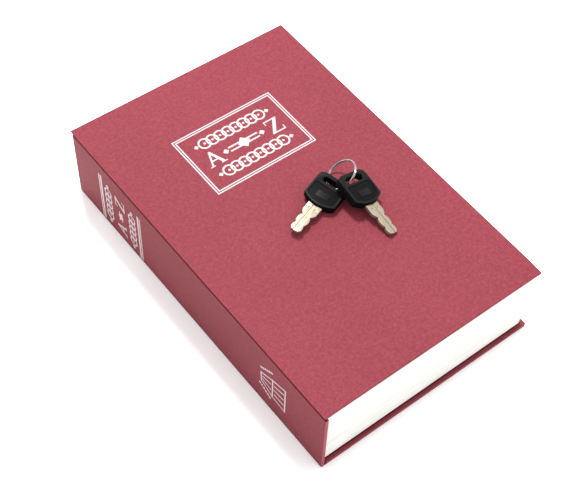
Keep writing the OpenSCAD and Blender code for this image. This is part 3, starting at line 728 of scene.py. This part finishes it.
def grip_outline(inset=0.0):
    """The grip seen flat: round corners at the ring end, a bowed foot at the blade."""
    half = GRIP_W / 2 - inset
    r = GRIP_CORNER - inset
    foot_r = GRIP_FOOT - inset
    reach = math.degrees(math.asin(half / foot_r))
    points = arc(0, GRIP_FOOT, foot_r, -90 - reach, -90 + reach, 18)
    points += arc(half - r, GRIP_L - inset - r, r, 0, 90, 8)
    points += arc(-half + r, GRIP_L - inset - r, r, 90, 180, 8)
    return points


def slot_outline(grow=0.0):
    r = SLOT_W / 2 + grow
    reach = (SLOT_L - SLOT_W) / 2
    return arc(reach, SLOT_Y, r, -90, 90, 12) + arc(-reach, SLOT_Y, r, 90, 270, 12)


def rounded(x0, x1, y0, y1, r):
    return (arc(x1 - r, y0 + r, r, -90, 0, 4) + arc(x1 - r, y1 - r, r, 0, 90, 4)
            + arc(x0 + r, y1 - r, r, 90, 180, 4) + arc(x0 + r, y0 + r, r, 180, 270, 4))


def panel_outline():
    """The sunken panel follows the grip's edge at 1.5 mm, up to just below the slot."""
    half = GRIP_W / 2 - 1.5
    foot_r = GRIP_FOOT - 1.5
    reach = math.degrees(math.asin(half / foot_r))
    top = SLOT_Y - SLOT_W / 2 - 1.7
    r = 1.2
    return (arc(0, GRIP_FOOT, foot_r, -90 - reach, -90 + reach, 14)
            + arc(half - r, top - r, r, 0, 90, 4) + arc(-half + r, top - r, r, 90, 180, 4))


def slab(outlines, low, high, edge):
    """A flat slab between two heights with holes and rounded arrises, as mesh data (mm)."""
    curve = bpy.data.curves.new("slab", "CURVE")
    curve.dimensions = "2D"
    curve.fill_mode = "BOTH"
    curve.extrude = (high - low) / 2 - edge
    curve.bevel_depth = edge
    curve.bevel_resolution = 2
    curve.offset = -edge
    for outline in outlines:
        spline = curve.splines.new("POLY")
        spline.points.add(len(outline) - 1)
        for point, (x, y) in zip(spline.points, outline):
            point.co = (x, y, 0, 1)
        spline.use_cyclic_u = True
    holder = bpy.data.objects.new("slab", curve)
    scene.collection.objects.link(holder)
    bpy.context.view_layer.update()
    shaped = holder.evaluated_get(bpy.context.evaluated_depsgraph_get())
    mesh = bpy.data.meshes.new_from_object(shaped)
    mesh.transform(Matrix.Translation((0, 0, (low + high) / 2)))
    bpy.data.objects.remove(holder)
    bpy.data.curves.remove(curve)
    return mesh


def key_matrix(which):
    at, (yaw, pitch, roll) = KEYS[which]
    turn = (Matrix.Rotation(math.radians(yaw), 4, "Z") @ Matrix.Rotation(math.radians(pitch), 4, "X")
            @ Matrix.Rotation(math.radians(roll), 4, "Y"))
    return Matrix.Scale(MM, 4) @ Matrix.Translation(at) @ turn


def join_slabs(name, slabs, place, materials, body, stands_for):
    """Joins (mesh, material index) slabs, in a key's own millimetres, into one piece at its place."""
    work = bmesh.new()
    for mesh, index in slabs:
        known = len(work.faces)
        work.from_mesh(mesh)
        work.faces.ensure_lookup_table()
        for face in work.faces[known:]:
            face.material_index = index
            face.smooth = True
        bpy.data.meshes.remove(mesh)
    bmesh.ops.remove_doubles(work, verts=work.verts, dist=0.0005)
    bmesh.ops.transform(work, matrix=place, verts=work.verts)
    mesh = bpy.data.meshes.new(name)
    work.to_mesh(mesh)
    work.free()
    for material in materials:
        mesh.materials.append(material)
    mesh.set_sharp_from_angle(angle=math.radians(40))
    piece = bpy.data.objects.new(name, mesh)
    scene.collection.objects.link(piece)
    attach(piece, body)
    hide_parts(*stands_for)
    return piece


def blade_half(s):
    """Half-width of the blade at s from the grip: a shoulder, a hump and a blunt lobed tip."""
    def hump(t):
        return max(0.0, 1 - (2 * t - 1) ** 2) ** 0.55
    if s < 6:
        return BLADE_HALF
    if s < 9.6:
        return BLADE_HALF - 2.1 * ((s - 6) / 3.6) ** 1.6
    if s < 16.4:
        return 2.35 + 1.35 * hump((s - 9.6) / 6.8)
    if s < 19.4:
        return 2.35 + 1.05 * hump((s - 16.4) / 6)
    return 3.4 - 1.5 * ((s - 19.4) / 2.4) ** 2.2


def blade_side(inner):
    """One side of the blade's outline, from a straight inner line out to the cut edge."""
    stations = [BLADE_L * k / 64 for k in range(65)]
    edge = [(blade_half(s), -s) for s in stations if blade_half(s) > inner + 0.2]
    return [(inner, edge[-1][1]), (inner, -0.4)] + edge


def make_key(which):
    place = key_matrix(which)
    body = "key_" + which
    half_t = GRIP_T / 2
    core = half_t - PANEL_DEPTH
    label = rounded(-4.0, 4.0, 5.0, 9.4, 0.4)
    slabs = [(slab([grip_outline(0.02), slot_outline(0.02)], -core, core, 0.02), 1)]
    for side in (-1, 1):
        low, high = sorted((side * (core - 0.3), side * half_t))
        slabs.append((slab([grip_outline(), slot_outline(), panel_outline()], low, high, 0.28), 0))
        slabs.append((slab([label], *sorted((side * (core - 0.3), side * (half_t - 0.08))), 0.1), 0))
    join_slabs(f"key_{which}_head", slabs, place, [MATERIALS["grip_smooth"], MATERIALS["grip_pebbled"]],
               body, [f"key_{which}_grip"])

    whole = [(x, y) for x, y in blade_side(0)[1:]]
    outline = [(-x, y) for x, y in whole] + [(x, y) for x, y in reversed(whole)]
    web, face = BLADE_T / 2 - 0.35, BLADE_T / 2
    slabs = [(slab([outline], -web - 0.01, web + 0.01, 0.01), 0)]
    for side in (-1, 1):
        low, high = sorted((side * (web - 0.2), side * face))
        for mirror in (-1, 1):
            part = [(mirror * x, y) for x, y in blade_side(1.0)]
            dot = arc(mirror * DOT_X, -DOT_S, DOT_R, 0, 337.5, 15)
            slabs.append((slab([part if mirror > 0 else part[::-1], dot], low, high, 0.12), 0))
    join_slabs(f"key_{which}_shank", slabs, place, [MATERIALS["blade_nickel"]], body,
               [f"key_{which}_blade"])


def split_ring():
    """Two turns of flattened wire with the jog between them, about the joints' own axis."""
    joint = next(j for j in frame["joints"] if j["name"] == "key_b_swing")
    centre, normal = Vector(joint["pos_m"]), Vector(joint["axis"]).normalized()
    along = normal.cross(Vector((0, 0, 1))).normalized()
    across = normal.cross(along)
    jog, start_gap, sides, steps = 24.0, 30.0, 10, 200
    half_high, half_wide = 0.33, 0.52
    first, last = start_gap, 720.0 - start_gap
    verts, faces = [], []
    for k in range(steps + 1):
        turn = first + (last - first) * k / steps
        climb = min(1.0, max(0.0, (turn - 360 + jog) / (2 * jog)))
        height = -0.35 + 0.70 * climb * climb * (3 - 2 * climb)
        a = math.radians(turn + RING_SEAM)
        out = along * math.cos(a) + across * math.sin(a)
        taper = min(1.0, 0.35 + min(k, steps - k) / 4)
        for j in range(sides):
            b = 2 * math.pi * j / sides
            wide = math.copysign(abs(math.cos(b)) ** 0.7, math.cos(b)) * half_wide
            high = math.copysign(abs(math.sin(b)) ** 0.7, math.sin(b)) * half_high * taper
            verts.append(centre + (out * (RING_R + wide) + normal * (height + high)) * MM)
    for k in range(steps):
        for j in range(sides):
            n = (j + 1) % sides
            faces.append((k * sides + j, k * sides + n, (k + 1) * sides + n, (k + 1) * sides + j))
    faces.append(tuple(range(sides)))
    faces.append(tuple(steps * sides + j for j in reversed(range(sides))))
    add_mesh("split_ring", verts, faces, MATERIALS["ring_steel"], "ring", ["key_ring"])


# ---------------------------------------------------------------- build

MATERIALS = {
    "cover_cloth": cover_cloth(),
    # The cloth darkened with painted crevice shade.
    "joint_cloth_painted_shade": cover_cloth("joint_cloth_painted_shade", CREVICE_SHADE, 0.0),
    # The cloth brightened with painted light, for the spine's ends.
    "spine_end_painted_light": cover_cloth("spine_end_painted_light", SPINE_END_PAINTED_LIGHT, 0.0),
    "page_plastic": page_plastic(),
    "grip_smooth": grip_plastic(False),
    "grip_pebbled": grip_plastic(True),
    "blade_nickel": blade_nickel(),
    "ring_steel": metal("ring_steel", (0.42, 0.41, 0.42), (0.16, 0.15, 0.16), 0.14, per_mm=0.5),
    "greyboard": greyboard(),
    "endpaper": endpaper(),
    "foil": foil(),
    "page_block": moulded_white(),
    "powder_coat": powder_coat(),
    "zinc_plate": zinc_plate(),
    "rivet_steel": metal("rivet_steel", (0.68, 0.68, 0.67), (0.52, 0.52, 0.52), 0.33, per_mm=1.5),
    "lock_chrome": metal("lock_chrome", (0.80, 0.80, 0.81), (0.68, 0.68, 0.69), 0.14, per_mm=1.0,
                         edge=0.3),
    "plug_face": metal("plug_face", (0.76, 0.71, 0.56), (0.62, 0.56, 0.40), 0.26, per_mm=1.8),
    "wafer_brass": metal("wafer_brass", (0.80, 0.62, 0.28), (0.62, 0.46, 0.18), 0.30, per_mm=2.5,
                         edge=0.05),
    "spring_steel": metal("spring_steel", (0.55, 0.55, 0.56), (0.42, 0.42, 0.43), 0.30, per_mm=4.0,
                          edge=0.03),
}

CAD_FINISH = {
    "greyboard": ["spine_board", "back_board"],
    "endpaper": ["back_endpaper"],
    "foil": ["title_foil", "spine_foil"],
    "page_block": ["page_block", "tray_rails"],
    "powder_coat": ["cash_tray", "lid"],
    "zinc_plate": ["tray_screws", "strike_bracket", "hinge_leaf_tray", "hinge_leaf_lid",
                   "lock_nut", "lock_cam"],
    "rivet_steel": ["strike_rivets", "hinge_pin", "tray_rivets", "lid_rivets",
                    "cam_washer", "cam_screw"],
    "lock_chrome": ["lock_housing"],
    "plug_face": ["lock_plug"],
    "wafer_brass": ["lock_wafers"],
    "spring_steel": ["wafer_springs"],
}
for finish, members in CAD_FINISH.items():
    for member in members:
        slots = frame["nodes"][member].material_slots
        slots[0].material = MATERIALS[finish]

make_camera()
make_studio()
front_cover()
front_inside()
turn_in_folds()
rear_case()
joint_cloth_painted_shade()
page_edges()
block_foot_painted_shadow()
make_key("a")
make_key("b")
split_ring()
